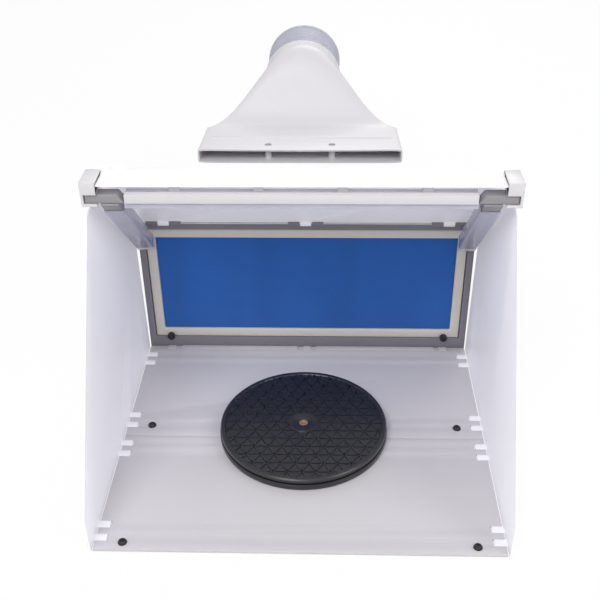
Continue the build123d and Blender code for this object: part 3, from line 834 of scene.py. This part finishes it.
class BOOTH_OT_housing(bpy.types.Operator):
    """Fan housing, its front frame, controls and everything inside"""

    bl_idname = "booth.housing"
    bl_label = "Fan Housing"

    def execute(self, context):
        rounded = {
            "housing_casing": 0.9, "housing_back_panel": 0.9, "housing_front_frame": 0.6,
            "exhaust_spigot": 0.5, "control_panel": 0.5, "power_inlet": 0.3, "fan_rocker": 0.6,
            "light_rocker": 0.6, "housing_screws": 0.4, "filter_grille": 0.0,
        }
        for node, width in rounded.items():
            finish_node(node, width * MM)
        for node, item in frame["nodes"].items():
            if not item.hide_render and not node.startswith("arm_led"):
                paint_node(node)
        return {"FINISHED"}


class BOOTH_OT_stage(bpy.types.Operator):
    """Pale floor, soft lights and the camera"""

    bl_idname = "booth.stage"
    bl_label = "Stage"

    def lamp(self, name, place, target, size, power):
        light = bpy.data.lights.new(name, "AREA")
        light.shape = "DISK"
        light.size = size
        light.energy = power
        lamp = bpy.data.objects.new(name, light)
        lamp.location = place
        lamp.rotation_euler = (Vector(target) - Vector(place)).to_track_quat("-Z", "Y").to_euler()
        bpy.context.scene.collection.objects.link(lamp)

    def execute(self, context):
        scene = context.scene
        scene.view_settings.view_transform = "Standard"
        deselect()
        bpy.ops.mesh.primitive_plane_add(size=12, location=(0, 0, -0.0005))
        floor = settle(bpy.context.object, "floor")
        f = Finish("floor_paper")
        seen = f.node("ShaderNodeLightPath")
        paper = f.node("ShaderNodeBsdfDiffuse", None, {"Color": (0.86, 0.86, 0.87, 1)})["BSDF"]
        glow = {"Color": (1, 1, 1, 1), "Strength": 1.0}
        white = f.node("ShaderNodeEmission", None, glow)["Emission"]
        share = seen["Is Camera Ray"] * FLOOR_WHITENING
        whiten = f.node("ShaderNodeMixShader", None, {0: share, 1: paper, 2: white})["Shader"]
        f.node("ShaderNodeOutputMaterial", None, {"Surface": whiten})
        floor.data.materials.append(f.material)
        world = bpy.data.worlds.new("studio")
        scene.world = world
        world.use_nodes = True
        tree = world.node_tree
        tree.nodes.clear()
        path = tree.nodes.new("ShaderNodeLightPath")
        in_view, mirrored, through = (
            Signal(tree, path.outputs[f"Is {kind} Ray"]) for kind in ("Camera", "Glossy", "Transmission")
        )
        seen_sky = in_view + mirrored * 0.35 + through * 0.6
        sky = tree.nodes.new("ShaderNodeBackground")
        sky.inputs["Color"].default_value = (1, 1, 1, 1)
        tree.links.new((SKY_ON_OBJECT + seen_sky * 0.45).socket, sky.inputs["Strength"])
        out = tree.nodes.new("ShaderNodeOutputWorld")
        tree.links.new(sky.outputs[0], out.inputs[0])
        for lamp in LAMPS:
            self.lamp(*lamp)
        lens = bpy.data.cameras.new("camera")
        lens.lens = scene.booth_sizes.camera_lens
        camera = bpy.data.objects.new("camera", lens)
        heading = Matrix.Rotation(math.radians(CAMERA_HEADING), 4, "Z")
        tilt = Matrix.Rotation(math.radians(90 - CAMERA_DOWN), 4, "X")
        roll = Matrix.Rotation(math.radians(CAMERA_ROLL), 4, "Z")
        camera.matrix_world = Matrix.Translation(CAMERA_PLACE) @ heading @ tilt @ roll
        scene.collection.objects.link(camera)
        scene.camera = camera
        return {"FINISHED"}


class BOOTH_PT_panel(bpy.types.Panel):
    """Lists the booth's sizes, colours and pieces"""

    bl_idname = "BOOTH_PT_panel"
    bl_label = "Spray Booth"
    bl_space_type = "VIEW_3D"
    bl_region_type = "UI"
    bl_category = "Spray Booth"

    def draw(self, context):
        for group in (context.scene.booth_sizes, context.scene.booth_colours):
            for key in group.__annotations__:
                self.layout.prop(group, key)
        for operator in OPERATORS:
            self.layout.operator(operator.bl_idname)


OPERATORS = (
    BOOTH_OT_stage, BOOTH_OT_base, BOOTH_OT_turntable, BOOTH_OT_filter, BOOTH_OT_sheets,
    BOOTH_OT_lights, BOOTH_OT_duct, BOOTH_OT_housing,
)
CLASSES = (BoothColours, BoothSizes, *OPERATORS, BOOTH_PT_panel)


def register():
    for item in CLASSES:
        bpy.utils.register_class(item)
    bpy.types.Scene.booth_colours = bpy.props.PointerProperty(type=BoothColours)
    bpy.types.Scene.booth_sizes = bpy.props.PointerProperty(type=BoothSizes)


def unregister():
    del bpy.types.Scene.booth_sizes
    del bpy.types.Scene.booth_colours
    for item in reversed(CLASSES):
        bpy.utils.unregister_class(item)


def main():
    register()
    make_finishes()
    bpy.ops.booth.stage()
    bpy.ops.booth.base()
    bpy.ops.booth.turntable()
    bpy.ops.booth.filter()
    bpy.ops.booth.sheets()
    bpy.ops.booth.lights()
    bpy.ops.booth.duct()
    bpy.ops.booth.housing()


if __name__ == "__main__":
    main()
